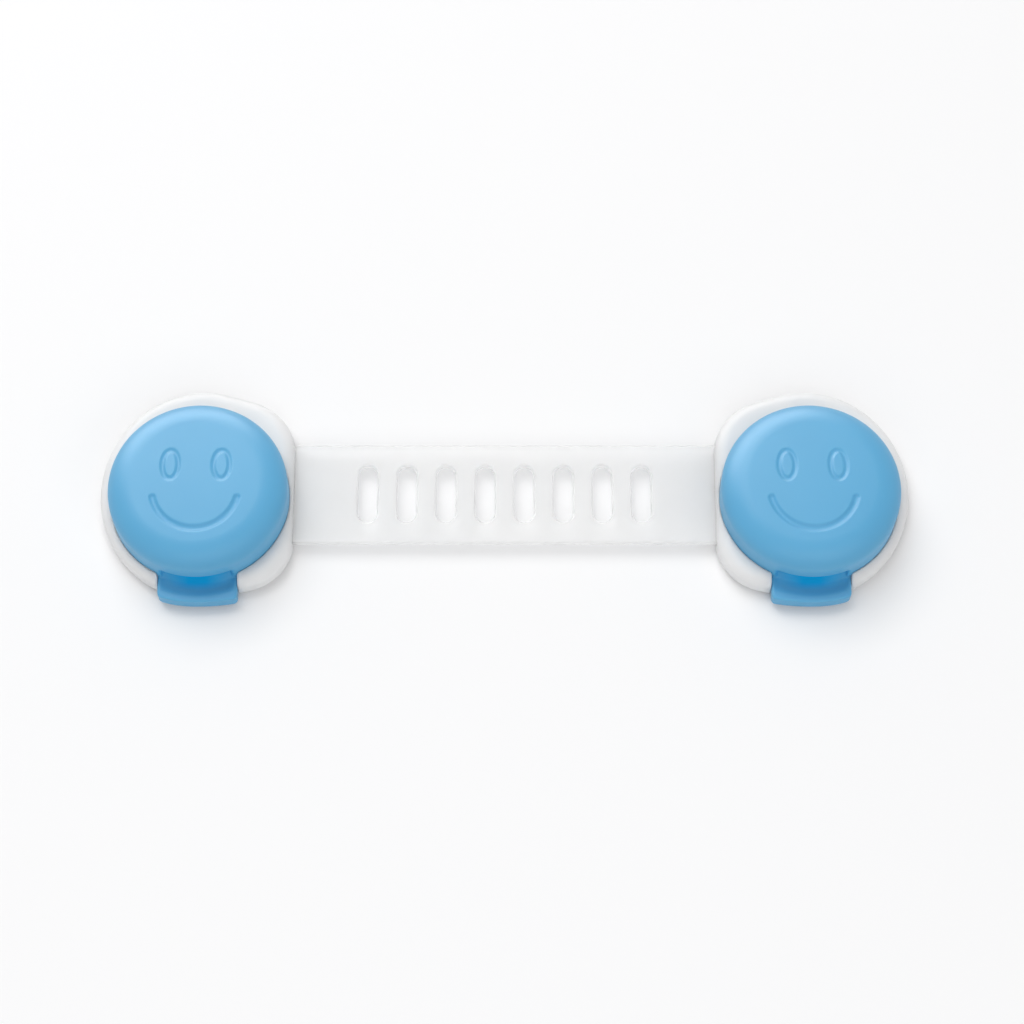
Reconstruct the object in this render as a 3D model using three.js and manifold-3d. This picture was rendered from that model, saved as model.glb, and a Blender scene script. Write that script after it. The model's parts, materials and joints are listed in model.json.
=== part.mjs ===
// Child safety strap lock: two stick-on heads with hinged lids, joined by a slotted strap.
// Millimetres, +Z up. The lock lies on its adhesive faces at z = 0, with the strap along X.
// Each head is drawn about its lid's axis, with +x towards the strap and +y towards the hinge.
import * as THREE from 'three';
import { mergeVertices } from 'three/addons/utils/BufferGeometryUtils.js';
import Module from 'manifold-3d';

const wasm = await Module();
wasm.setup();

// Whole lock
const HEAD_SPACING = 135.5; // from lid axis to lid axis

// Adhesive pad and its peel-off liner
const LINER_THICKNESS = 0.2;
const PAD_THICKNESS = 0.7;
const PAD_MARGIN = 5.4; // from the base's outline in to the pad's edge

// Base outline: a half ellipse outside, rounded corners and a flat side at the strap
const RIM_OUTSIDE = 2.45; // width of the rim round the lid's seat, away from the strap
const RIM_AT_STRAP = 0.6;
const RIM_IN_FRONT = 2.55;
const RIM_BEHIND = 6.75; // with room for the hinge
const BASE_CORNER_RADIUS = 12.0;
const BASE_FLAT_LENGTH = 21.2;

// Base section
const BASE_SHOULDER = 3.0;
const BASE_BOTTOM_ROUND = 0.6;
const FLOOR_THICKNESS = 0.9;
const ROOF_THICKNESS = 0.8; // over the strap's tunnel
const RIM_HEIGHT = 1.6; // above the lid's seat
const WELL_LIP_THICKNESS = 1.0;
const WELL_LIP_HEIGHT = 0.9;
const WELL_LIP_CLEARANCE = 1.0; // to the lid's skirt, which swings past it

// Strap
const STRAP_WIDTH = 23.6;
const STRAP_THICKNESS = 1.9;
const STRAP_CLEARANCE = 0.3;
const STRAP_END_MARGIN = 4.4; // beyond the end slot
const STRAP_END_CORNER = 4.0;
const SLOT_WIDTH = 4.3;
const SLOT_LENGTH = 13.6;
const SLOT_PITCH = 8.75;
const SLOT_COUNT = 8;

// Peg that holds the strap's end slot
const PEG_X = 3.0;
const PEG_CLEARANCE = 0.3;
const PEG_RISE = 1.3; // above the strap

// Lid
const LID_RADIUS = 19.85;
const LID_WALL = 2.2;
const LID_SIDE_HEIGHT = 6.3;
const LID_EDGE_WIDTH = 6.0;
const LID_EDGE_HEIGHT = 5.0;
const LID_CROWN = 0.5;
const SEAT_CLEARANCE = 0.3; // under the lid's skirt
const RIM_CLEARANCE = 0.3; // round the lid's skirt
const HOLD_DOWN_WALL = 1.4;
const HOLD_DOWN_PEG_GAP = 0.8;
const HOLD_DOWN_STRAP_GAP = 0.4;

// Lifting tab on the lid
const TAB_WIDTH = 17.6;
const TAB_LENGTH = 4.15; // from the lid's wall to the tab's front
const TAB_BOW = 0.8;
const TAB_THICKNESS = 3.6;
const TAB_LIFT = 0.3; // from the base's underside up to the tab's
const TAB_CLEARANCE = 0.3;
const SCOOP_RADIUS = 2.2;
const SCOOP_DEPTH = 1.4;
const SCOOP_MARGIN = 1.1; // of tab left beside the scoop
const SCOOP_SINK = 0.9; // of the scoop into the tab's top

// Hinge
const HINGE_INSET = 0.3; // of the axis from the lid's outside
const KNUCKLE_RADIUS = 1.2;
const KNUCKLE_CLEARANCE = 0.3; // over the base's rim
const LUG_WIDTH = 6.4;
const EAR_WIDTH = 2.2;
const HINGE_SIDE_GAP = 0.35;
const HINGE_CLEARANCE = 0.4;
const PIN_RADIUS = 0.5;
const PIN_CLEARANCE = 0.2;
const PIN_INSET = 0.4; // of the pin's ends inside the ears

// Faceting
const OUTLINE_STEPS = 60;
const ROUND_STEPS = 56;
const ARC_STEPS = 5;
const SMALL_ROUND_STEPS = 16;
const SLOT_STEPS = 7;
const OVERCUT = 1.0; // by which a cutter passes the face it cuts
const MERGE_DISTANCE = 1e-4;

// Heights that the pieces share
const baseBottom = LINER_THICKNESS + PAD_THICKNESS;
const wellFloor = baseBottom + FLOOR_THICKNESS;
const strapBottom = wellFloor + STRAP_CLEARANCE;
const strapTop = strapBottom + STRAP_THICKNESS;
const tunnelTop = strapTop + STRAP_CLEARANCE;
const ledge = tunnelTop + ROOF_THICKNESS;
const rimTop = ledge + RIM_HEIGHT;
const lidBottom = ledge + SEAT_CLEARANCE;
const lidShoulder = lidBottom + LID_SIDE_HEIGHT;
const tabBottom = baseBottom + TAB_LIFT;
const tabTop = tabBottom + TAB_THICKNESS;
const hingeZ = rimTop + KNUCKLE_CLEARANCE + KNUCKLE_RADIUS;

// Reaches from the lid's axis
const seatRadius = LID_RADIUS + RIM_CLEARANCE;
const skirtInside = LID_RADIUS - LID_WALL;
const lipRadius = skirtInside - WELL_LIP_CLEARANCE;
const wellRadius = lipRadius - WELL_LIP_THICKNESS;
const outerReach = seatRadius + RIM_OUTSIDE;
const flatReach = seatRadius + RIM_AT_STRAP;
const frontReach = seatRadius + RIM_IN_FRONT;
const backReach = seatRadius + RIM_BEHIND;
const tabReach = LID_RADIUS + TAB_LENGTH;
const hingeY = LID_RADIUS - HINGE_INSET;
const earOuter = LUG_WIDTH / 2 + HINGE_SIDE_GAP + EAR_WIDTH;
const strapEndX = PEG_X - SLOT_WIDTH / 2 - STRAP_END_MARGIN;

// The strap runs through the middle of each base, and the lock's footprint is centred on the origin
const baseHalfLength = (frontReach + backReach) / 2;
const baseCentreY = (backReach - frontReach) / 2;
const headY = (Math.max(tabReach, frontReach) - backReach) / 2;

// A closed three.js geometry as a solid that can be joined and cut
function toSolid(geometry) {
  geometry.deleteAttribute('normal');
  geometry.deleteAttribute('uv');
  const merged = mergeVertices(geometry, MERGE_DISTANCE);
  const corners = merged.index.array;
  const triangles = [];
  for (let i = 0; i < corners.length; i += 3) {
    const [a, b, c] = corners.slice(i, i + 3);
    if (a !== b && b !== c && c !== a) triangles.push(a, b, c);
  }
  return new wasm.Manifold(new wasm.Mesh({
    numProp: 3,
    vertProperties: new Float32Array(merged.attributes.position.array),
    triVerts: new Uint32Array(triangles),
  }));
}

function toGeometry(solid) {
  const mesh = solid.getMesh();
  const geometry = new THREE.BufferGeometry();
  const positions = new Float32Array(mesh.vertProperties);
  geometry.setAttribute('position', new THREE.BufferAttribute(positions, 3));
  geometry.setIndex(new THREE.BufferAttribute(new Uint32Array(mesh.triVerts), 1));
  geometry.computeVertexNormals();
  return geometry;
}

// Upright prism of a flat shape
function prism(shape, low, high, curveSegments = SLOT_STEPS) {
  const settings = { depth: high - low, bevelEnabled: false, curveSegments };
  return toSolid(new THREE.ExtrudeGeometry(shape, settings).translate(0, 0, low));
}

function block(xLow, xHigh, yLow, yHigh, zLow, zHigh) {
  const box = new THREE.BoxGeometry(xHigh - xLow, yHigh - yLow, zHigh - zLow);
  box.translate((xLow + xHigh) / 2, (yLow + yHigh) / 2, (zLow + zHigh) / 2);
  return toSolid(box);
}

// Round bar along X
function barAlongX(radius, xLow, xHigh, y, z) {
  const bar = new THREE.CylinderGeometry(radius, radius, xHigh - xLow, SMALL_ROUND_STEPS);
  bar.rotateZ(Math.PI / 2).translate((xLow + xHigh) / 2, y, z);
  return toSolid(bar);
}

// Body of revolution about the lid's axis, from radius and height pairs
function revolve(profile) {
  const points = profile.map(([radius, height]) => new THREE.Vector2(radius, height));
  return toSolid(new THREE.LatheGeometry(points, ROUND_STEPS).rotateX(Math.PI / 2));
}

function disc(radius, low, high) {
  return revolve([[0, low], [radius, low], [radius, high], [0, high]]);
}

// Quarter of an ellipse from angle 0 to a right angle, as cosine and sine pairs
function quarterArc() {
  return Array.from({ length: ARC_STEPS + 1 }, (_, step) => {
    const angle = (step / ARC_STEPS) * Math.PI / 2;
    return [Math.cos(angle), Math.sin(angle)];
  });
}

// Long hole or peg with round ends, its length along Y
function oblong(width, length, x, y) {
  const radius = width / 2;
  const straight = length / 2 - radius;
  const path = new THREE.Path();
  path.absarc(x, y + straight, radius, 0, Math.PI, false);
  path.absarc(x, y - straight, radius, Math.PI, 2 * Math.PI, false);
  path.closePath();
  return path;
}

function oblongShape(width, length, x, y) {
  return new THREE.Shape(oblong(width, length, x, y).getPoints(SLOT_STEPS));
}

// The base's outline, moved in by an inset, one point for each direction that it faces
function baseOutline(inset, height) {
  const cornerX = flatReach - BASE_CORNER_RADIUS;
  return Array.from({ length: OUTLINE_STEPS }, (_, step) => {
    const angle = (step / OUTLINE_STEPS) * 2 * Math.PI;
    const facing = new THREE.Vector2(Math.cos(angle), Math.sin(angle));
    const reach = facing.x < 0 ? outerReach : flatReach;
    const ellipse = new THREE.Vector2(reach ** 2 * facing.x, baseHalfLength ** 2 * facing.y);
    ellipse.divideScalar(Math.hypot(reach * facing.x, baseHalfLength * facing.y));
    const side = facing.y < 0 ? -1 : 1;
    const corner = new THREE.Vector2(cornerX, side * BASE_FLAT_LENGTH / 2);
    corner.addScaledVector(facing, BASE_CORNER_RADIUS);
    const point = ellipse.dot(facing) > corner.dot(facing) ? ellipse : corner;
    point.addScaledVector(facing, -inset);
    return new THREE.Vector3(point.x, point.y + baseCentreY, height);
  });
}

// Closed body through rings of equally many points, lowest ring first
function loft(rings) {
  const count = rings[0].length;
  const index = [];
  for (let level = 0; level + 1 < rings.length; level++) {
    for (let i = 0; i < count; i++) {
      const a = level * count + i;
      const b = level * count + (i + 1) % count;
      index.push(a, b, b + count, a, b + count, a + count);
    }
  }
  const top = (rings.length - 1) * count;
  for (let i = 1; i + 1 < count; i++) {
    index.push(0, i + 1, i, top, top + i, top + i + 1);
  }
  const geometry = new THREE.BufferGeometry().setFromPoints(rings.flat());
  geometry.setIndex(index);
  return toSolid(geometry);
}

// Rounded rectangle with its length along X
function roundedStrip(xLow, xHigh, yLow, yHigh, corner) {
  const shape = new THREE.Shape();
  shape.absarc(xHigh - corner, yHigh - corner, corner, 0, Math.PI / 2, false);
  shape.absarc(xLow + corner, yHigh - corner, corner, Math.PI / 2, Math.PI, false);
  shape.absarc(xLow + corner, yLow + corner, corner, Math.PI, 1.5 * Math.PI, false);
  shape.absarc(xHigh - corner, yLow + corner, corner, 1.5 * Math.PI, 2 * Math.PI, false);
  shape.closePath();
  return shape;
}

// Pebble-shaped shell before its cuts: rounded under-edge, upright wall, round shoulder
function basePebble() {
  const rings = [];
  for (const [c, s] of quarterArc().reverse()) {
    const inset = BASE_BOTTOM_ROUND * (1 - c);
    rings.push(baseOutline(inset, baseBottom + BASE_BOTTOM_ROUND * (1 - s)));
  }
  for (const [c, s] of quarterArc()) {
    const inset = BASE_SHOULDER * (1 - c);
    rings.push(baseOutline(inset, rimTop - BASE_SHOULDER * (1 - s)));
  }
  return loft(rings);
}

// One hinge ear: a round knuckle on an upright stem
function hingeEar(xLow, xHigh) {
  const front = hingeY - KNUCKLE_RADIUS;
  const back = hingeY + KNUCKLE_RADIUS;
  const stem = block(xLow, xHigh, front, back, ledge - ROOF_THICKNESS / 2, hingeZ);
  return stem.add(barAlongX(KNUCKLE_RADIUS, xLow, xHigh, hingeY, hingeZ));
}

// Base: pebble with the lid's seat, the well, the strap's tunnel, the peg and the hinge ears
function baseSolid() {
  let base = basePebble();
  base = base.subtract(disc(seatRadius, ledge, rimTop + OVERCUT));
  base = base.add(disc(lipRadius, ledge - ROOF_THICKNESS / 2, ledge + WELL_LIP_HEIGHT));
  base = base.subtract(disc(wellRadius, wellFloor, rimTop + OVERCUT));

  const tunnelHalf = STRAP_WIDTH / 2 + STRAP_CLEARANCE;
  const tunnelStart = strapEndX - STRAP_CLEARANCE;
  const tunnelEnd = flatReach + OVERCUT;
  const tunnelLow = baseCentreY - tunnelHalf;
  const tunnelHigh = baseCentreY + tunnelHalf;
  base = base.subtract(block(tunnelStart, tunnelEnd, tunnelLow, tunnelHigh, wellFloor, tunnelTop));

  const notchHalf = TAB_WIDTH / 2 + TAB_CLEARANCE;
  const notchLow = baseBottom - OVERCUT;
  const notchHigh = rimTop + OVERCUT;
  const notchBack = disc(skirtInside - TAB_CLEARANCE, notchLow, notchHigh);
  const notchFront = -frontReach - OVERCUT;
  const notch = block(-notchHalf, notchHalf, notchFront, 0, notchLow, notchHigh).subtract(notchBack);
  base = base.subtract(notch);

  const pegWidth = SLOT_WIDTH - 2 * PEG_CLEARANCE;
  const pegLength = SLOT_LENGTH - 2 * PEG_CLEARANCE;
  const peg = oblongShape(pegWidth, pegLength, PEG_X, baseCentreY);
  base = base.add(prism(peg, wellFloor - FLOOR_THICKNESS / 2, strapTop + PEG_RISE));

  base = base.add(hingeEar(-earOuter, -earOuter + EAR_WIDTH));
  base = base.add(hingeEar(earOuter - EAR_WIDTH, earOuter));
  const bore = PIN_RADIUS + PIN_CLEARANCE;
  return base.subtract(barAlongX(bore, -earOuter - OVERCUT, earOuter + OVERCUT, hingeY, hingeZ));
}

// Lid's domed shell: straight skirt, rounded edge and a low crown
function lidShell() {
  const flatRadius = LID_RADIUS - LID_EDGE_WIDTH;
  const crownRadius = (flatRadius ** 2 + LID_CROWN ** 2) / (2 * LID_CROWN);
  const crownBase = lidShoulder + LID_EDGE_HEIGHT;
  const outer = quarterArc().map(([c, s]) => (
    [flatRadius + LID_EDGE_WIDTH * c, lidShoulder + LID_EDGE_HEIGHT * s]
  ));
  const inner = quarterArc().map(([c, s]) => (
    [flatRadius + (LID_EDGE_WIDTH - LID_WALL) * c, lidShoulder + (LID_EDGE_HEIGHT - LID_WALL) * s]
  ));
  const crown = Array.from({ length: ARC_STEPS }, (_, step) => {
    const radius = flatRadius * (1 - (step + 1) / ARC_STEPS);
    const drop = crownRadius - Math.sqrt(crownRadius ** 2 - radius ** 2);
    return [radius, crownBase + LID_CROWN - drop];
  });
  return revolve([
    [0, crownBase - LID_WALL],
    ...inner.reverse(),
    [skirtInside, lidBottom],
    [LID_RADIUS, lidBottom],
    ...outer,
    ...crown,
  ]);
}

// Ring under the lid that keeps the strap down on its peg
function holdDownRing() {
  const innerWidth = SLOT_WIDTH - 2 * PEG_CLEARANCE + 2 * HOLD_DOWN_PEG_GAP;
  const innerLength = SLOT_LENGTH - 2 * PEG_CLEARANCE + 2 * HOLD_DOWN_PEG_GAP;
  const outerWidth = innerWidth + 2 * HOLD_DOWN_WALL;
  const outerLength = innerLength + 2 * HOLD_DOWN_WALL;
  const shape = oblongShape(outerWidth, outerLength, PEG_X, baseCentreY);
  shape.holes.push(oblong(innerWidth, innerLength, PEG_X, baseCentreY));
  const top = lidShoulder + LID_EDGE_HEIGHT - LID_WALL / 2;
  return prism(shape, strapTop + HOLD_DOWN_STRAP_GAP, top);
}

// Tab in front of the lid, bowed forwards, on a stretch of skirt that reaches down to it
function tabSolid() {
  const half = TAB_WIDTH / 2;
  const corner = -(tabReach - TAB_BOW);
  const shape = new THREE.Shape();
  shape.moveTo(half, 0);
  shape.lineTo(-half, 0);
  shape.lineTo(-half, corner);
  shape.quadraticCurveTo(0, -(tabReach + TAB_BOW), half, corner);
  shape.closePath();
  const skirtTop = lidBottom + SEAT_CLEARANCE;
  const skirt = disc(LID_RADIUS, tabBottom, skirtTop).intersect(
    block(-half, half, -LID_RADIUS, 0, tabBottom, skirtTop),
  );
  const inside = disc(skirtInside, tabBottom - OVERCUT, skirtTop + OVERCUT);
  return prism(shape, tabBottom, tabTop).add(skirt).subtract(inside);
}

// Finger scoop: a groove that follows the lid's wall above the tab
function scoopSolid() {
  const grooveRadius = LID_RADIUS - SCOOP_DEPTH + SCOOP_RADIUS;
  const grooveHeight = tabTop + SCOOP_RADIUS - SCOOP_SINK;
  const ring = Array.from({ length: SMALL_ROUND_STEPS + 1 }, (_, step) => {
    const angle = (step / SMALL_ROUND_STEPS) * 2 * Math.PI;
    return [grooveRadius + SCOOP_RADIUS * Math.cos(angle), grooveHeight + SCOOP_RADIUS * Math.sin(angle)];
  });
  const half = TAB_WIDTH / 2 - SCOOP_MARGIN;
  const reach = -(grooveRadius + SCOOP_RADIUS + OVERCUT);
  const window = block(-half, half, reach, 0, tabBottom, grooveHeight + SCOOP_RADIUS + OVERCUT);
  return revolve(ring).intersect(window);
}

// Lid: shell with the tab, the hold-down ring and the hinge lug
function lidSolid() {
  let lid = lidShell().add(holdDownRing()).add(tabSolid()).subtract(scoopSolid());
  const halfLug = LUG_WIDTH / 2;
  const wallMiddle = LID_RADIUS - LID_WALL / 2;
  const lug = barAlongX(KNUCKLE_RADIUS, -halfLug, halfLug, hingeY, hingeZ).add(
    block(-halfLug, halfLug, wallMiddle, hingeY, hingeZ - KNUCKLE_RADIUS, hingeZ + KNUCKLE_RADIUS),
  );
  lid = lid.add(lug);

  const earCut = KNUCKLE_RADIUS + HINGE_CLEARANCE;
  for (const side of [-1, 1]) {
    const ends = [side * halfLug, side * (earOuter + HINGE_SIDE_GAP)].sort((a, b) => a - b);
    lid = lid.subtract(barAlongX(earCut, ends[0], ends[1], hingeY, hingeZ));
    lid = lid.subtract(
      block(ends[0], ends[1], hingeY - earCut, hingeY + earCut, lidBottom - OVERCUT, hingeZ),
    );
  }
  const bore = PIN_RADIUS + PIN_CLEARANCE;
  return lid.subtract(barAlongX(bore, -halfLug - OVERCUT, halfLug + OVERCUT, hingeY, hingeZ));
}

function pinSolid() {
  return barAlongX(PIN_RADIUS, -earOuter + PIN_INSET, earOuter - PIN_INSET, hingeY, hingeZ);
}

function padSolid(low, high) {
  return loft([baseOutline(PAD_MARGIN, low), baseOutline(PAD_MARGIN, high)]);
}

// Strap with its row of slots and one end slot on each head's peg
function strapSolid() {
  const end = HEAD_SPACING / 2 - strapEndX;
  const centreY = headY + baseCentreY;
  const half = STRAP_WIDTH / 2;
  const shape = roundedStrip(-end, end, centreY - half, centreY + half, STRAP_END_CORNER);
  const slots = Array.from({ length: SLOT_COUNT }, (_, i) => (i - (SLOT_COUNT - 1) / 2) * SLOT_PITCH);
  const pegs = [-1, 1].map((side) => side * (HEAD_SPACING / 2 - PEG_X));
  for (const x of [...slots, ...pegs]) shape.holes.push(oblong(SLOT_WIDTH, SLOT_LENGTH, x, centreY));
  return prism(shape, strapBottom, strapTop);
}

const finishes = {
  shell: { color: 0xe9ebec, roughness: 0.42, metalness: 0 },
  strap: { color: 0xeeeeec, roughness: 0.38, metalness: 0 },
  lid: { color: 0x68b4e0, roughness: 0.3, metalness: 0 },
  pin: { color: 0xb9bcc0, roughness: 0.3, metalness: 1 },
  pad: { color: 0xf2f2ee, roughness: 0.9, metalness: 0 },
  liner: { color: 0xe8dfc6, roughness: 0.6, metalness: 0 },
};

function part(name, solid, finish) {
  const mesh = new THREE.Mesh(toGeometry(solid), new THREE.MeshStandardMaterial(finishes[finish]));
  mesh.name = name;
  return mesh;
}

// One head; the right head is the left one's mirror image
function head(side, mirror) {
  const group = new THREE.Group();
  group.add(part(`${side}_base`, baseSolid(), 'shell'));
  group.add(part(`${side}_lid`, lidSolid(), 'lid'));
  group.add(part(`${side}_hinge_pin`, pinSolid(), 'pin'));
  group.add(part(`${side}_adhesive_pad`, padSolid(LINER_THICKNESS, baseBottom), 'pad'));
  group.add(part(`${side}_release_liner`, padSolid(0, LINER_THICKNESS), 'liner'));
  group.position.set(-mirror * HEAD_SPACING / 2, headY, 0);
  group.scale.x = mirror;
  return group;
}

const lock = new THREE.Group();
lock.add(head('left', 1));
lock.add(head('right', -1));
lock.add(part('strap', strapSolid(), 'strap'));

export default lock;
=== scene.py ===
import itertools
import json
import math

import bpy
import numpy as np
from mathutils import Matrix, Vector


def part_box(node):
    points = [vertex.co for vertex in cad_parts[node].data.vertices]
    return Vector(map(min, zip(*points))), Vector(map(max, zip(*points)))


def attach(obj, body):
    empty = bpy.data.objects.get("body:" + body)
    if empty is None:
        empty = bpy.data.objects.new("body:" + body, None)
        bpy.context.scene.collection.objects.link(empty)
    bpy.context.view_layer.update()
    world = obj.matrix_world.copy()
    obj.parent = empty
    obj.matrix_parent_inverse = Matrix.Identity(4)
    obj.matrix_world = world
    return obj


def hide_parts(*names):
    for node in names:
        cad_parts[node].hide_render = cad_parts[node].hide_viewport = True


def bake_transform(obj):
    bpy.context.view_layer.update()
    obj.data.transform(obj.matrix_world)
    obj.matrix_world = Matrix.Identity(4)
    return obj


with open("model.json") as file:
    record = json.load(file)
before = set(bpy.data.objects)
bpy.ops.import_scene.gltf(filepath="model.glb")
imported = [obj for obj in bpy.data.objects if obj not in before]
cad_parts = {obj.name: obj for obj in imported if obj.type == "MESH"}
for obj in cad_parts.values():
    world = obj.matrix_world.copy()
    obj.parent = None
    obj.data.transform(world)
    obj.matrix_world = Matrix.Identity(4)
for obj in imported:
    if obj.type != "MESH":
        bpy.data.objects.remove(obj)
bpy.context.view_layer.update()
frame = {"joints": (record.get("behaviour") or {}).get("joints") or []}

MM = 0.001


def box_mm(node):
    """A node's two opposite corners, in millimetres"""
    return [[value / MM for value in corner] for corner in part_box(node)]


# Sizes in millimetres, about one lid's axis: +x towards the strap, +y towards the hinge.
# The pieces of a head share them, and the right head is the left one's mirror image.
LID_BOX = box_mm("left_lid")
BASE_BOX = box_mm("left_base")
STRAP_BOX = box_mm("strap")
PAD_BOX = box_mm("left_adhesive_pad")
LINER_BOX = box_mm("left_release_liner")
HINGE = next(joint for joint in frame["joints"] if joint["name"] == "left_lid_hinge")

LID_RADIUS = (LID_BOX[1][0] - LID_BOX[0][0]) / 2
HEAD_X = -(LID_BOX[0][0] + LID_BOX[1][0]) / 2
HINGE_INSET = 0.3
HINGE_Y = LID_RADIUS - HINGE_INSET
HEAD_Y = HINGE["pos_m"][1] / MM - HINGE_Y
HINGE_Z = HINGE["pos_m"][2] / MM
STRAP_MIDDLE_Y = (STRAP_BOX[0][1] + STRAP_BOX[1][1]) / 2
STRAP_HALF_WIDTH = (STRAP_BOX[1][1] - STRAP_BOX[0][1]) / 2

# Base
BASE_OUTER_REACH = -HEAD_X - BASE_BOX[0][0]
BASE_FLAT_REACH = BASE_BOX[1][0] + HEAD_X
BASE_CENTRE_Y = STRAP_MIDDLE_Y - HEAD_Y
BASE_HALF_LENGTH = BASE_BOX[1][1] - HEAD_Y - BASE_CENTRE_Y
BASE_CORNER_RADIUS = 12.0
BASE_FLAT_LENGTH = 21.2
BACK_CORNER_RADIUS = 13.5
BACK_TRIM = 0.3
FRONT_TRIM = 0.6
BASE_BOTTOM = BASE_BOX[0][2]
BASE_SHOULDER = 3.0
BASE_BOTTOM_ROUND = 0.6
FLOOR_THICKNESS = 0.9
WELL_FLOOR = BASE_BOTTOM + FLOOR_THICKNESS
STRAP_CLEARANCE = 0.3
TUNNEL_TOP = STRAP_BOX[1][2] + STRAP_CLEARANCE
TUNNEL_ROOF = 0.8
LEDGE = TUNNEL_TOP + TUNNEL_ROOF
RIM_HEIGHT = 1.6
RIM_TOP = LEDGE + RIM_HEIGHT
SEAT_GAP = 0.04
SEAT_RADIUS = LID_RADIUS + SEAT_GAP
WELL_LIP_THICKNESS = 1.0
WELL_LIP_CLEARANCE = 1.0
WELL_LIP_HEIGHT = 0.9
WELL_LIP_TOP = LEDGE + WELL_LIP_HEIGHT
PAD_MARGIN = BASE_OUTER_REACH + HEAD_X + PAD_BOX[0][0]

# Strap and the peg in its end slot
STRAP_END_CORNER = 4.0
SLOT_WIDTH = 4.3
SLOT_LENGTH = 13.6
SLOT_PITCH = 8.75
SLOT_COUNT = 8
PEG_X = 3.0
PEG_CLEARANCE = 0.3
PEG_SINK = 0.4
PEG_STAND = 1.3
PEG_TOP = STRAP_BOX[1][2] + PEG_STAND

# Lid
LID_WALL = 2.2
LID_LIFT = 0.3
LID_BOTTOM = LEDGE + LID_LIFT
LID_SIDE_HEIGHT = 6.3
LID_SHOULDER = LID_BOTTOM + LID_SIDE_HEIGHT
LID_TOP = LID_BOX[1][2]
LID_EDGE_WIDTH = 6.0
LID_CROWN = 1.0
SKIRT_INSIDE = LID_RADIUS - LID_WALL
WELL_RADIUS = SKIRT_INSIDE - WELL_LIP_CLEARANCE - WELL_LIP_THICKNESS
HOLD_DOWN_STRAP_GAP = 0.4
HOLD_DOWN_BOTTOM = STRAP_BOX[1][2] + HOLD_DOWN_STRAP_GAP
HOLD_DOWN_WALL = 1.4
HOLD_DOWN_PEG_GAP = 0.8
TAB_REACH = HEAD_Y - LID_BOX[0][1]
TAB_WIDTH = 17.6
TAB_BOW = 0.8
TAB_OUTER_TRIM = 0.6
TAB_BOTTOM = LID_BOX[0][2]
TAB_THICKNESS = 3.6
TAB_TOP = TAB_BOTTOM + TAB_THICKNESS
TAB_SKIRT_OVERLAP = 1
TAB_CLEARANCE = 0.06
SCOOP_RADIUS = 2.2
SCOOP_DEPTH = 1.4
SCOOP_MARGIN = 1.1
SCOOP_SINK = 0.35

# Painted shade: a deeper blue inside the scoop, where the lid's edge shades it; how far it reaches
# and over what length it fades
PAINTED_SHADE_SIDE_REACH = 1.25
PAINTED_SHADE_OUTER_REACH = 1.4
PAINTED_SHADE_INWARD_FADE = 1.6
PAINTED_SHADE_HEIGHT = 4.1
PAINTED_SHADE_TOP_FADE = 0.6
PAINTED_SHADE_BELOW_TAB_TOP = 0.7
PAINTED_SHADE_FROM_INSIDE = 0.4

# Smiling face pressed into the lid
EYE_X = 5.62
EYE_Y = 3.65
EYE_HALF_WIDTH = 1.75
EYE_HALF_LENGTH = 3.35
EYE_GROOVE_RADIUS = 0.58
EYE_GROOVE_DEPTH = 0.3
MOUTH_Y = -1.75
MOUTH_RADIUS = 9.55
MOUTH_END_Y = -4.1
MOUTH_GROOVE_RADIUS = 0.85
MOUTH_GROOVE_DEPTH = 0.42

# Hinge
KNUCKLE_RADIUS = 1.2
LUG_WIDTH = 6.4
EAR_WIDTH = 2.2
HINGE_SIDE_GAP = 0.35
HINGE_CLEARANCE = 0.4
PIN_RADIUS = 0.5
PIN_CLEARANCE = 0.2
PIN_INSET = 0.4
EAR_SINK = 0.4
EAR_OUTER = LUG_WIDTH / 2 + HINGE_SIDE_GAP + EAR_WIDTH

# Rounding of edges, and of corners where two forms of one moulding meet
SEAT_ROUND = 0.3
LIP_ROUND = 0.3
WELL_ROUND = 0.4
TUNNEL_ROUND = 0.25
NOTCH_ROUND = 0.4
PEG_ROUND = 0.4
PEG_FOOT_ROUND = 0.3
EAR_ROUND = 0.25
EAR_FOOT_ROUND = 0.4
LID_RIM_ROUND = 0.4
TAB_CORNER_ROUND = 1.0
TAB_EDGE_ROUND = 0.45
TAB_SKIRT_ROUND = 0.3
TAB_SKIRT_MERGE = 0.4
TAB_INSIDE_ROUND = 0.2
TAB_ROOT_ROUND = 0.6
SCOOP_END_ROUND = 1.0
SCOOP_EDGE_ROUND = 0.9
HOLD_DOWN_ROUND = 0.3
HOLD_DOWN_ROOT_ROUND = 0.4
LUG_ROUND = 0.25
LUG_ROOT_ROUND = 0.4
EAR_ROOM_ROUND = 0.2
PIN_HOLE_ROUND = 0.1
FACE_ROUND = 0.3
PIN_ROUND = 0.15
PAD_ROUND = 0.15
LINER_ROUND = 0.05
STRAP_ROUND = 0.5

# Mesh cells
LID_CELL = 0.3
BASE_CELL = 0.36
STRAP_CELL = (0.3, 0.3, 0.24)
PAD_CELL = (0.6, 0.6, 0.12)
PIN_CELL = 0.12
OUTLINE_STEPS = 240
PROJECTION_STEPS = 4
LEAST_SLOPE_SQUARED = 0.25


# Distance fields: negative inside, in millimetres

def join(a, b, radius):
    """Either form, with a rounded inner corner"""
    blend = np.maximum(radius - np.abs(a - b), 0) / radius
    return np.minimum(a, b) - blend * blend * radius / 4


def cut(a, b, radius):
    """The first form without the second, with a rounded edge"""
    return -join(-a, b, radius)


def overlap(a, b, radius):
    """What both forms share, with a rounded edge"""
    return -join(-a, -b, radius)


def slab(value, low, high):
    return np.maximum(low - value, value - high)


def extrude(flat, z, low, high, edge):
    """A flat shape drawn out from low to high, with its edges rounded"""
    side = flat + edge
    end = slab(z, low, high) + edge
    outside = np.hypot(np.maximum(side, 0), np.maximum(end, 0))
    return np.minimum(np.maximum(side, end), 0) + outside - edge


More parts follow.
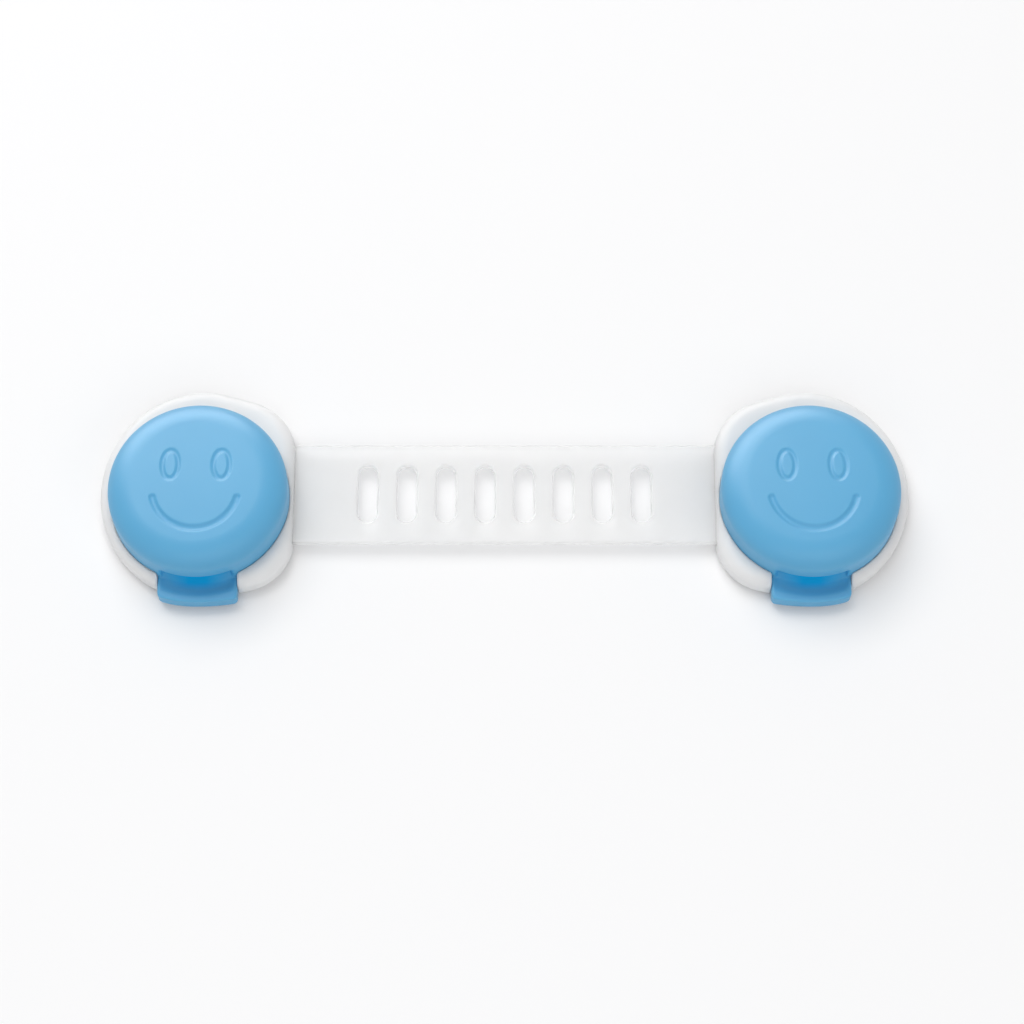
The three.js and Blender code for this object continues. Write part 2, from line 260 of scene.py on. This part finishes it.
def oblong(x, y, width, length):
    straight = (length - width) / 2
    return np.hypot(x, np.maximum(np.abs(y) - straight, 0)) - width / 2


def base_outline(x, y):
    """Distance to the base's outline, which is the furthest of its tangent lines"""
    distance = np.full(np.broadcast(x, y).shape, -np.inf)
    for step in range(OUTLINE_STEPS):
        angle = 2 * math.pi * step / OUTLINE_STEPS
        c, s = math.cos(angle), math.sin(angle)
        reach = BASE_OUTER_REACH if c < 0 else BASE_FLAT_REACH
        half_length = BASE_HALF_LENGTH - (BACK_TRIM if s > 0 else FRONT_TRIM)
        radius = BACK_CORNER_RADIUS if s > 0 else BASE_CORNER_RADIUS
        straight = BASE_FLAT_LENGTH / 2 + BASE_CORNER_RADIUS - radius
        ellipse = math.hypot(reach * c, half_length * s)
        corner = (BASE_FLAT_REACH - radius) * c + straight * abs(s) + radius
        np.maximum(distance, x * c + (y - BASE_CENTRE_Y) * s - max(ellipse, corner), out=distance)
    return distance


def base_shape(x, y, z):
    """Pebble with the lid's seat, the well, the strap's tunnel, the peg and the hinge ears"""
    r = np.hypot(x, y)
    flat = base_outline(x, y)
    far = RIM_TOP + BASE_SHOULDER
    upper = extrude(flat, z, BASE_BOTTOM - far, RIM_TOP, BASE_SHOULDER)
    lower = extrude(flat, z, BASE_BOTTOM, far, BASE_BOTTOM_ROUND)
    base = np.maximum(upper, lower)
    base = cut(base, np.maximum(r - SEAT_RADIUS, LEDGE - z), SEAT_ROUND)

    lip_middle = WELL_RADIUS + WELL_LIP_THICKNESS / 2
    lip = np.abs(r - lip_middle) - WELL_LIP_THICKNESS / 2
    base = join(base, extrude(lip, z, WELL_FLOOR, WELL_LIP_TOP, LIP_ROUND), LIP_ROUND)
    base = cut(base, np.maximum(r - WELL_RADIUS, WELL_FLOOR - z), WELL_ROUND)

    tunnel_half = STRAP_HALF_WIDTH + STRAP_CLEARANCE
    tunnel = np.maximum(np.abs(y - BASE_CENTRE_Y) - tunnel_half, PEG_X - x)
    base = cut(base, np.maximum(tunnel, slab(z, WELL_FLOOR, TUNNEL_TOP)), TUNNEL_ROUND)

    notch = np.maximum(np.abs(x) - TAB_WIDTH / 2 - TAB_CLEARANCE, y)
    base = cut(base, np.maximum(notch, SKIRT_INSIDE - TAB_CLEARANCE - r), NOTCH_ROUND)

    peg_width = SLOT_WIDTH - 2 * PEG_CLEARANCE
    peg_length = SLOT_LENGTH - 2 * PEG_CLEARANCE
    peg = oblong(x - PEG_X, y - BASE_CENTRE_Y, peg_width, peg_length)
    peg = extrude(peg, z, BASE_BOTTOM + PEG_SINK, PEG_TOP, PEG_ROUND)
    base = join(base, peg, PEG_FOOT_ROUND)

    knuckle = np.hypot(y - HINGE_Y, z - HINGE_Z) - KNUCKLE_RADIUS
    stem = np.maximum(np.abs(y - HINGE_Y) - KNUCKLE_RADIUS, slab(z, LEDGE - EAR_SINK, HINGE_Z))
    ear = np.minimum(knuckle, stem)
    ear = extrude(ear, np.abs(x), EAR_OUTER - EAR_WIDTH, EAR_OUTER, EAR_ROUND)
    base = join(base, ear, EAR_FOOT_ROUND)
    return cut(base, knuckle + KNUCKLE_RADIUS - PIN_RADIUS - PIN_CLEARANCE, PIN_HOLE_ROUND)


def lid_top(r):
    """Height of the lid's crown over its rounded edge"""
    return LID_TOP - LID_CROWN * (r / LID_RADIUS) ** 2


def groove(away, height, radius, depth):
    """A round-bottomed groove, from the distance to its line and the height over the face"""
    return np.hypot(away, height - radius + depth) - radius


def face_grooves(x, y, z):
    """Two oval rings and a smile, each a round-bottomed groove along the lid's top"""
    height = z - lid_top(np.hypot(x, y))
    eye = np.hypot((np.abs(x) - EYE_X) / EYE_HALF_WIDTH, (y - EYE_Y) / EYE_HALF_LENGTH)
    slope = np.hypot((np.abs(x) - EYE_X) / EYE_HALF_WIDTH ** 2, (y - EYE_Y) / EYE_HALF_LENGTH ** 2)
    eye = eye * (eye - 1) / np.maximum(slope, 1e-6)
    smile = np.hypot(x, y - MOUTH_Y) - MOUTH_RADIUS
    end_x = math.sqrt(MOUTH_RADIUS ** 2 - (MOUTH_END_Y - MOUTH_Y) ** 2)
    tip = np.hypot(np.abs(x) - end_x, y - MOUTH_END_Y)
    smile = np.where(y < MOUTH_END_Y, np.abs(smile), tip)
    eye_groove = groove(eye, height, EYE_GROOVE_RADIUS, EYE_GROOVE_DEPTH)
    smile_groove = groove(smile, height, MOUTH_GROOVE_RADIUS, MOUTH_GROOVE_DEPTH)
    return np.minimum(eye_groove, smile_groove)


def lid_shape(x, y, z):
    """Domed shell with its face, finger tab, scoop, hold-down ring and hinge lug"""
    r = np.hypot(x, y)
    flat_radius = LID_RADIUS - LID_EDGE_WIDTH
    across = np.maximum(r - flat_radius, 0) / LID_EDGE_WIDTH
    up = np.maximum(z - LID_SHOULDER, 0) / (lid_top(r) - LID_SHOULDER)
    outer = (np.hypot(across, up) - 1) * LID_EDGE_WIDTH
    lid = np.maximum(outer, -outer - LID_WALL)
    lid = overlap(lid, LID_BOTTOM - z, LID_RIM_ROUND)

    half = TAB_WIDTH / 2
    trim = TAB_BOW * (x / half) ** 2 + TAB_OUTER_TRIM * np.clip(-x / half, 0, 1) ** 3
    plan = overlap(np.abs(x) - half, -y - TAB_REACH + trim, TAB_CORNER_ROUND)
    tab = extrude(np.maximum(plan, y), z, TAB_BOTTOM, TAB_TOP, TAB_EDGE_ROUND)
    skirt = np.maximum(np.maximum(np.abs(x) - half, r - LID_RADIUS), y)
    skirt = extrude(skirt, z, TAB_BOTTOM, LID_BOTTOM + TAB_SKIRT_OVERLAP, TAB_SKIRT_ROUND)
    tab = join(tab, skirt, TAB_SKIRT_MERGE)
    lid = join(lid, cut(tab, r - SKIRT_INSIDE, TAB_INSIDE_ROUND), TAB_ROOT_ROUND)

    groove_radius = LID_RADIUS - SCOOP_DEPTH + SCOOP_RADIUS
    groove_z = TAB_TOP + SCOOP_RADIUS - SCOOP_SINK
    scoop = np.hypot(r - groove_radius, z - groove_z) - SCOOP_RADIUS
    scoop = overlap(np.maximum(scoop, y), np.abs(x) - half + SCOOP_MARGIN, SCOOP_END_ROUND)
    lid = cut(lid, scoop, SCOOP_EDGE_ROUND)

    ring = oblong(x - PEG_X, y - BASE_CENTRE_Y, SLOT_WIDTH, SLOT_LENGTH)
    ring = ring + PEG_CLEARANCE - HOLD_DOWN_PEG_GAP - HOLD_DOWN_WALL / 2
    ring = np.abs(ring) - HOLD_DOWN_WALL / 2
    ring = extrude(ring, z, HOLD_DOWN_BOTTOM, LID_TOP - LID_WALL, HOLD_DOWN_ROUND)
    lid = join(lid, ring, HOLD_DOWN_ROOT_ROUND)

    knuckle = np.hypot(y - HINGE_Y, z - HINGE_Z)
    root = np.maximum(slab(y, SKIRT_INSIDE, HINGE_Y), np.abs(z - HINGE_Z) - KNUCKLE_RADIUS)
    lug = np.minimum(knuckle - KNUCKLE_RADIUS, root)
    lug = extrude(lug, x, -LUG_WIDTH / 2, LUG_WIDTH / 2, LUG_ROUND)
    lid = join(lid, lug, LUG_ROOT_ROUND)
    ear_room = KNUCKLE_RADIUS + HINGE_CLEARANCE
    below = np.maximum(np.abs(y - HINGE_Y) - ear_room, z - HINGE_Z)
    room = np.minimum(knuckle - ear_room, below)
    room = np.maximum(room, slab(np.abs(x), LUG_WIDTH / 2, EAR_OUTER + HINGE_SIDE_GAP))
    lid = cut(lid, room, EAR_ROOM_ROUND)
    pin_hole = np.maximum(knuckle - PIN_RADIUS - PIN_CLEARANCE, np.abs(x) - LUG_WIDTH)
    lid = cut(lid, pin_hole, PIN_HOLE_ROUND)
    return cut(lid, face_grooves(x, y, z), FACE_ROUND)


def pin_shape(x, y, z):
    wire = np.hypot(y - HINGE_Y, z - HINGE_Z) - PIN_RADIUS
    return extrude(wire, x, -EAR_OUTER + PIN_INSET, EAR_OUTER - PIN_INSET, PIN_ROUND)


def pad_shape(x, y, z):
    return extrude(base_outline(x, y) + PAD_MARGIN, z, PAD_BOX[0][2], PAD_BOX[1][2], PAD_ROUND)


def liner_shape(x, y, z):
    return extrude(base_outline(x, y) + PAD_MARGIN, z, LINER_BOX[0][2], LINER_BOX[1][2], LINER_ROUND)


def strap_shape(x, y, z):
    """The whole strap, in the part's own frame"""
    half_x = STRAP_BOX[1][0] - STRAP_END_CORNER
    half_y = STRAP_HALF_WIDTH - STRAP_END_CORNER
    beyond_x = np.abs(x) - half_x
    beyond_y = np.abs(y - STRAP_MIDDLE_Y) - half_y
    strip = np.minimum(np.maximum(beyond_x, beyond_y), 0) - STRAP_END_CORNER
    strip = strip + np.hypot(np.maximum(beyond_x, 0), np.maximum(beyond_y, 0))
    slots = [(i - (SLOT_COUNT - 1) / 2) * SLOT_PITCH for i in range(SLOT_COUNT)]
    for slot in [*slots, PEG_X - HEAD_X, HEAD_X - PEG_X]:
        hole = oblong(x - slot, y - STRAP_MIDDLE_Y, SLOT_WIDTH, SLOT_LENGTH)
        strip = np.maximum(strip, -hole)
    return extrude(strip, z, STRAP_BOX[0][2], STRAP_BOX[1][2], STRAP_ROUND)


# Meshing of a distance field

def slope_at(shape, points, reach):
    """Gradient of a field at points, by central differences"""
    columns = []
    for axis in range(3):
        shift = np.zeros(3)
        shift[axis] = reach
        ahead, behind = points + shift, points - shift
        columns.append((shape(*ahead.T) - shape(*behind.T)) / (2 * reach))
    return np.stack(columns, axis=1)


def skin(shape, low, high, cell):
    """Points, outward normals and quads of the surface where a field is zero"""
    step = np.broadcast_to(np.asarray(cell, float), (3,))
    axes = [np.arange(a - 2.5 * s, b + 3 * s, s) for a, b, s in zip(low, high, step)]
    values = shape(*np.meshgrid(*axes, indexing="ij", sparse=True))
    values = np.broadcast_to(values, [len(axis) for axis in axes])

    def corner(i, j, k):
        ni, nj, nk = (len(axis) - 1 for axis in axes)
        return values[i:i + ni, j:j + nj, k:k + nk]

    corners = {c: corner(*c) for c in itertools.product((0, 1), repeat=3)}
    filled = sum((v < 0).astype(np.int8) for v in corners.values())
    active = (filled > 0) & (filled < 8)
    number = np.full(active.shape, -1)
    number[active] = np.arange(active.sum())

    total = np.zeros((active.sum(), 3))
    count = np.zeros(active.sum())
    for start in corners:
        for axis in range(3):
            if start[axis]:
                continue
            end = tuple(1 if i == axis else v for i, v in enumerate(start))
            a, b = corners[start][active], corners[end][active]
            crosses = (a < 0) != (b < 0)
            share = np.where(crosses, a / np.where(crosses, a - b, 1), 0)
            place = np.tile(np.array(start, float), (len(a), 1))
            place[:, axis] = share
            total += place * crosses[:, None]
            count += crosses
    cells = np.argwhere(active)
    origin = np.array([axis[0] for axis in axes])
    points = origin + (cells + total / count[:, None]) * step

    reach = step.min() / 10
    for _ in range(PROJECTION_STEPS):
        slope = slope_at(shape, points, reach)
        steep = np.maximum((slope ** 2).sum(axis=1), LEAST_SLOPE_SQUARED)
        move = -(shape(*points.T) / steep)[:, None] * slope
        points = points + np.clip(move, -step / 3, step / 3)
    slope = slope_at(shape, points, reach)
    normals = slope / np.maximum(np.linalg.norm(slope, axis=1), 1e-9)[:, None]

    quads = []
    for axis in range(3):
        u, v = (axis + 1) % 3, (axis + 2) % 3
        near = np.take(values, np.arange(values.shape[axis] - 1), axis=axis) < 0
        far = np.take(values, np.arange(1, values.shape[axis]), axis=axis) < 0
        for out, mask in ((True, near & ~far), (False, far & ~near)):
            at = np.argwhere(mask)
            unit_u, unit_v = np.eye(3, dtype=int)[u], np.eye(3, dtype=int)[v]
            ring = [at - unit_u - unit_v, at - unit_v, at, at - unit_u]
            quad = np.stack([number[tuple(cells.T)] for cells in ring], axis=1)
            quads.append(quad if out else quad[:, ::-1])
    return points, normals, np.concatenate(quads)


def painted_shade_depth(points):
    """Painted shade in the scoop, from 0 to 1: how far in under the lid's edge a point lies"""
    x, y, z = points.T
    r = np.hypot(x, y)
    half = TAB_WIDTH / 2 - SCOOP_MARGIN
    sideways = np.clip(PAINTED_SHADE_SIDE_REACH - np.abs(x) / half, 0, 1)
    inward = np.clip((LID_RADIUS + PAINTED_SHADE_OUTER_REACH - r) / PAINTED_SHADE_INWARD_FADE, 0, 1)
    low = np.clip((TAB_TOP + PAINTED_SHADE_HEIGHT - z) / PAINTED_SHADE_TOP_FADE, 0, 1)
    outside = (r > SKIRT_INSIDE + PAINTED_SHADE_FROM_INSIDE) & (z > TAB_TOP - PAINTED_SHADE_BELOW_TAB_TOP)
    return np.where((y < 0) & outside, sideways * inward * low, 0)


def add_mesh(name, points, normals, quads, material):
    mesh = bpy.data.meshes.new(name)
    mesh.from_pydata(points * MM, [], quads.tolist())
    mesh.polygons.foreach_set("use_smooth", [True] * len(mesh.polygons))
    mesh.normals_split_custom_set_from_vertices(normals.tolist())
    mesh.materials.append(material)
    piece = bpy.data.objects.new(name, mesh)
    bpy.context.scene.collection.objects.link(piece)
    return piece


def add_pair(label, shape, low, high, cell, material, slot, node, body):
    """One piece for each head, the right one mirrored"""
    points, normals, quads = skin(shape, low, high, cell)
    # Painted shade for the lid's scoop, kept on each lid as a point attribute
    painted_shade = painted_shade_depth(points) if node == "lid" else None
    for side, mirror in (("left", 1), ("right", -1)):
        placed = points * [mirror, 1, 1] + [-mirror * HEAD_X, HEAD_Y, 0]
        faces = quads if mirror > 0 else quads[:, ::-1]
        piece = add_mesh(f"{side}_{label}", placed, normals * [mirror, 1, 1], faces, material)
        if painted_shade is not None:
            piece.data.attributes.new("painted_shade", "FLOAT", "POINT").data.foreach_set("value", painted_shade)
        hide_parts(f"{side}_{node}")
        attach(piece, f"{side}_{body}")


# Materials

class Nodes:
    """Shorthand for building one material's nodes"""

    def __init__(self, name):
        self.material = bpy.data.materials.new(name)
        self.material.use_nodes = True
        self.tree = self.material.node_tree
        self.shader = self.tree.nodes["Principled BSDF"]
        self.place = self.add("ShaderNodeTexCoord").outputs["Object"]

    def add(self, kind, **settings):
        node = self.tree.nodes.new(kind)
        for key, value in settings.items():
            setattr(node, key, value)
        return node

    def link(self, source, target):
        self.tree.links.new(source, target)

    def set(self, **values):
        for key, value in values.items():
            self.shader.inputs[key.replace("_", " ")].default_value = value

    def noise(self, scale, detail=3.0, roughness=0.5):
        node = self.add("ShaderNodeTexNoise")
        node.inputs["Scale"].default_value = scale
        node.inputs["Detail"].default_value = detail
        node.inputs["Roughness"].default_value = roughness
        self.link(self.place, node.inputs["Vector"])
        return node.outputs["Fac"]

    def ramp(self, source, low, high, start=0.3, end=0.7):
        node = self.add("ShaderNodeValToRGB")
        first, last = node.color_ramp.elements
        first.position, first.color = start, (*low, 1)
        last.position, last.color = end, (*high, 1)
        self.link(source, node.inputs["Fac"])
        return node.outputs["Color"]

    def span(self, source, low, high):
        node = self.add("ShaderNodeMapRange")
        node.inputs["To Min"].default_value = low
        node.inputs["To Max"].default_value = high
        self.link(source, node.inputs["Value"])
        return node.outputs["Result"]

    def bump(self, source, distance, strength=1.0):
        node = self.add("ShaderNodeBump")
        node.inputs["Distance"].default_value = distance
        node.inputs["Strength"].default_value = strength
        self.link(source, node.inputs["Height"])
        self.link(node.outputs["Normal"], self.shader.inputs["Normal"])


def lid_plastic():
    """Glossy blue moulded plastic with faint flow marks, and painted shade in the scoop: a deeper
    blue and less sheen there
    """
    n = Nodes("lid_plastic")
    body = n.ramp(n.noise(45, 2), (0.092, 0.370, 0.620), (0.102, 0.390, 0.645))
    # Painted shade: inside the scoop the blue turns deeper and the sheen drops, following the scoop's
    # mask
    painted_shade = n.add("ShaderNodeAttribute", attribute_name="painted_shade")
    shaded_blue = n.add("ShaderNodeMix", data_type="RGBA")
    shaded_blue.inputs["B"].default_value = (0.0, 0.37, 0.74, 1)
    n.link(painted_shade.outputs["Fac"], shaded_blue.inputs["Factor"])
    n.link(body, shaded_blue.inputs["A"])
    n.link(shaded_blue.outputs["Result"], n.shader.inputs["Base Color"])
    n.link(n.span(painted_shade.outputs["Fac"], 0.5, 0.1), n.shader.inputs["Specular IOR Level"])
    n.link(n.span(n.noise(220, 4), 0.40, 0.48), n.shader.inputs["Roughness"])
    n.set(IOR=1.48, Subsurface_Weight=0.15, Subsurface_Scale=0.002, Subsurface_Radius=(0.5, 0.9, 1.2))
    n.bump(n.noise(1400, 2), 0.000004)
    return n.material


def milky_plastic(name, low, high, depth, cover, gloss):
    """White plastic that lets some light through"""
    n = Nodes(name)
    n.link(n.ramp(n.noise(60, 3), low, high), n.shader.inputs["Base Color"])
    n.link(n.span(n.noise(300, 4), 0.32, 0.44), n.shader.inputs["Roughness"])
    n.set(IOR=1.47, Subsurface_Weight=0.7, Subsurface_Scale=depth, Subsurface_Radius=(1.0, 1.0, 1.0))
    n.set(Alpha=cover, Specular_IOR_Level=gloss)
    n.bump(n.noise(1800, 3), 0.000005)
    return n.material


def foam():
    """White closed-cell foam"""
    n = Nodes("foam")
    cells = n.add("ShaderNodeTexVoronoi")
    cells.inputs["Scale"].default_value = 2600
    n.link(n.place, cells.inputs["Vector"])
    n.link(n.ramp(cells.outputs["Distance"], (0.70, 0.70, 0.67), (0.86, 0.86, 0.83), 0.0, 0.6),
           n.shader.inputs["Base Color"])
    n.link(n.span(n.noise(900, 3), 0.8, 0.95), n.shader.inputs["Roughness"])
    n.bump(cells.outputs["Distance"], 0.00008)
    return n.material


def paper():
    """Waxed paper with a fine grain"""
    n = Nodes("paper")
    grain = n.ramp(n.noise(700, 5, 0.7), (0.74, 0.66, 0.47), (0.84, 0.77, 0.60))
    n.link(grain, n.shader.inputs["Base Color"])
    n.link(n.span(n.noise(250, 3), 0.42, 0.6), n.shader.inputs["Roughness"])
    n.bump(n.noise(2400, 4), 0.00001)
    return n.material


def steel():
    """Drawn wire with fine lines along it"""
    n = Nodes("steel")
    stretch = n.add("ShaderNodeMapping")
    stretch.inputs["Scale"].default_value = (120, 4000, 4000)
    n.link(n.place, stretch.inputs["Vector"])
    lines = n.add("ShaderNodeTexNoise")
    lines.inputs["Scale"].default_value = 1.0
    n.link(stretch.outputs["Vector"], lines.inputs["Vector"])
    colour = n.ramp(lines.outputs["Fac"], (0.46, 0.47, 0.49), (0.66, 0.67, 0.69))
    n.link(colour, n.shader.inputs["Base Color"])
    n.link(n.span(lines.outputs["Fac"], 0.22, 0.42), n.shader.inputs["Roughness"])
    n.set(Metallic=1.0)
    n.bump(lines.outputs["Fac"], 0.00001)
    return n.material


# Pieces

LID_PLASTIC = lid_plastic()
SHELL_PLASTIC = milky_plastic("shell_plastic", low=(0.91, 0.915, 0.92), high=(0.94, 0.94, 0.94),
                              depth=0.003, cover=0.85, gloss=0.25)
STRAP_PLASTIC = milky_plastic("strap_plastic", low=(0.90, 0.905, 0.91), high=(0.93, 0.93, 0.93),
                              depth=0.003, cover=0.40, gloss=0.15)


def head_box(node):
    """A left node's box about the lid's axis"""
    shift = [HEAD_X, -HEAD_Y, 0]
    return [[value + move for value, move in zip(corner, shift)] for corner in box_mm(node)]


add_pair("lid_moulding", lid_shape, *head_box("left_lid"), LID_CELL,
         LID_PLASTIC, "lid_plastic", "lid", "lid")
add_pair("base_moulding", base_shape, *head_box("left_base"), BASE_CELL,
         SHELL_PLASTIC, "shell_plastic", "base", "head")
add_pair("pin_wire", pin_shape, *head_box("left_hinge_pin"), PIN_CELL,
         steel(), "pin_steel", "hinge_pin", "head")
add_pair("foam_pad", pad_shape, *head_box("left_adhesive_pad"), PAD_CELL,
         foam(), "pad_foam", "adhesive_pad", "head")
add_pair("paper_liner", liner_shape, *head_box("left_release_liner"), PAD_CELL,
         paper(), "liner_paper", "release_liner", "head")

strap = add_mesh("strap_moulding", *skin(strap_shape, *STRAP_BOX, STRAP_CELL), STRAP_PLASTIC)
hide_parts("strap")
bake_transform(strap)


# Stage, light and camera

def add_floor():
    """White ground that takes the shadows"""
    mesh = bpy.data.meshes.new("floor")
    half = 3.0
    corners = [(-half, -half, 0), (half, -half, 0), (half, half, 0), (-half, half, 0)]
    mesh.from_pydata(corners, [], [(0, 1, 2, 3)])
    material = bpy.data.materials.new("floor")
    material.use_nodes = True
    shader = material.node_tree.nodes["Principled BSDF"]
    shader.inputs["Base Color"].default_value = (0.93, 0.93, 0.935, 1)
    shader.inputs["Roughness"].default_value = 0.9
    shader.inputs["Specular IOR Level"].default_value = 0.1
    mesh.materials.append(material)
    floor = bpy.data.objects.new("floor", mesh)
    bpy.context.scene.collection.objects.link(floor)


def add_world(strength):
    """Even white light, at full white where it is seen or mirrored"""
    world = bpy.data.worlds.new("world")
    bpy.context.scene.world = world
    world.use_nodes = True
    nodes, links = world.node_tree.nodes, world.node_tree.links
    background = nodes["Background"]
    background.inputs["Color"].default_value = (1, 1, 1, 1)
    path = nodes.new("ShaderNodeLightPath")
    seen = nodes.new("ShaderNodeMath")
    seen.operation = "MAXIMUM"
    links.new(path.outputs["Is Camera Ray"], seen.inputs[0])
    links.new(path.outputs["Is Glossy Ray"], seen.inputs[1])
    level = nodes.new("ShaderNodeMapRange")
    level.inputs["To Min"].default_value = strength
    level.inputs["To Max"].default_value = 1.0
    links.new(seen.outputs[0], level.inputs["Value"])
    links.new(level.outputs["Result"], background.inputs["Strength"])


def add_softbox(name, place, aim, size, power):
    """Rectangular lamp turned towards a point"""
    light = bpy.data.lights.new(name, "AREA")
    light.shape = "RECTANGLE"
    light.size, light.size_y = size
    light.energy = power
    lamp = bpy.data.objects.new(name, light)
    lamp.location = place
    lamp.rotation_euler = (Vector(aim) - Vector(place)).to_track_quat("-Z", "Y").to_euler()
    bpy.context.scene.collection.objects.link(lamp)
    return lamp


def add_camera():
    """Long lens over the front, as in the photograph"""
    elevation = math.radians(68)
    focal_pixels = 2709
    distance = 0.609
    target = Vector((0.00167, -0.00077 + HEAD_Y * MM, 0))
    picture = 1024
    data = bpy.data.cameras.new("camera")
    data.sensor_width = 36
    data.lens = data.sensor_width * focal_pixels / picture
    camera = bpy.data.objects.new("camera", data)
    camera.location = target + distance * Vector((0, -math.cos(elevation), math.sin(elevation)))
    camera.rotation_euler = (math.pi / 2 - elevation, 0, 0)
    bpy.context.scene.collection.objects.link(camera)
    bpy.context.scene.camera = camera


add_floor()
add_world(strength=0.495)
add_softbox("key", place=(-0.31, 0.63, 1.14), aim=(0, 0, 0), size=(0.95, 0.95), power=9.7)
add_softbox("front_fill", place=(0.15, -0.65, 0.65), aim=(0, 0, 0), size=(1.2, 0.5), power=2.3)
back_panel = add_softbox("back_panel", place=(-0.22, 0.60, 0.24), aim=(-0.03, 0, 0.01),
                         size=(0.9, 0.5), power=8.0)
back_panel.visible_diffuse = False
add_camera()
bpy.context.scene.view_settings.view_transform = "Standard"
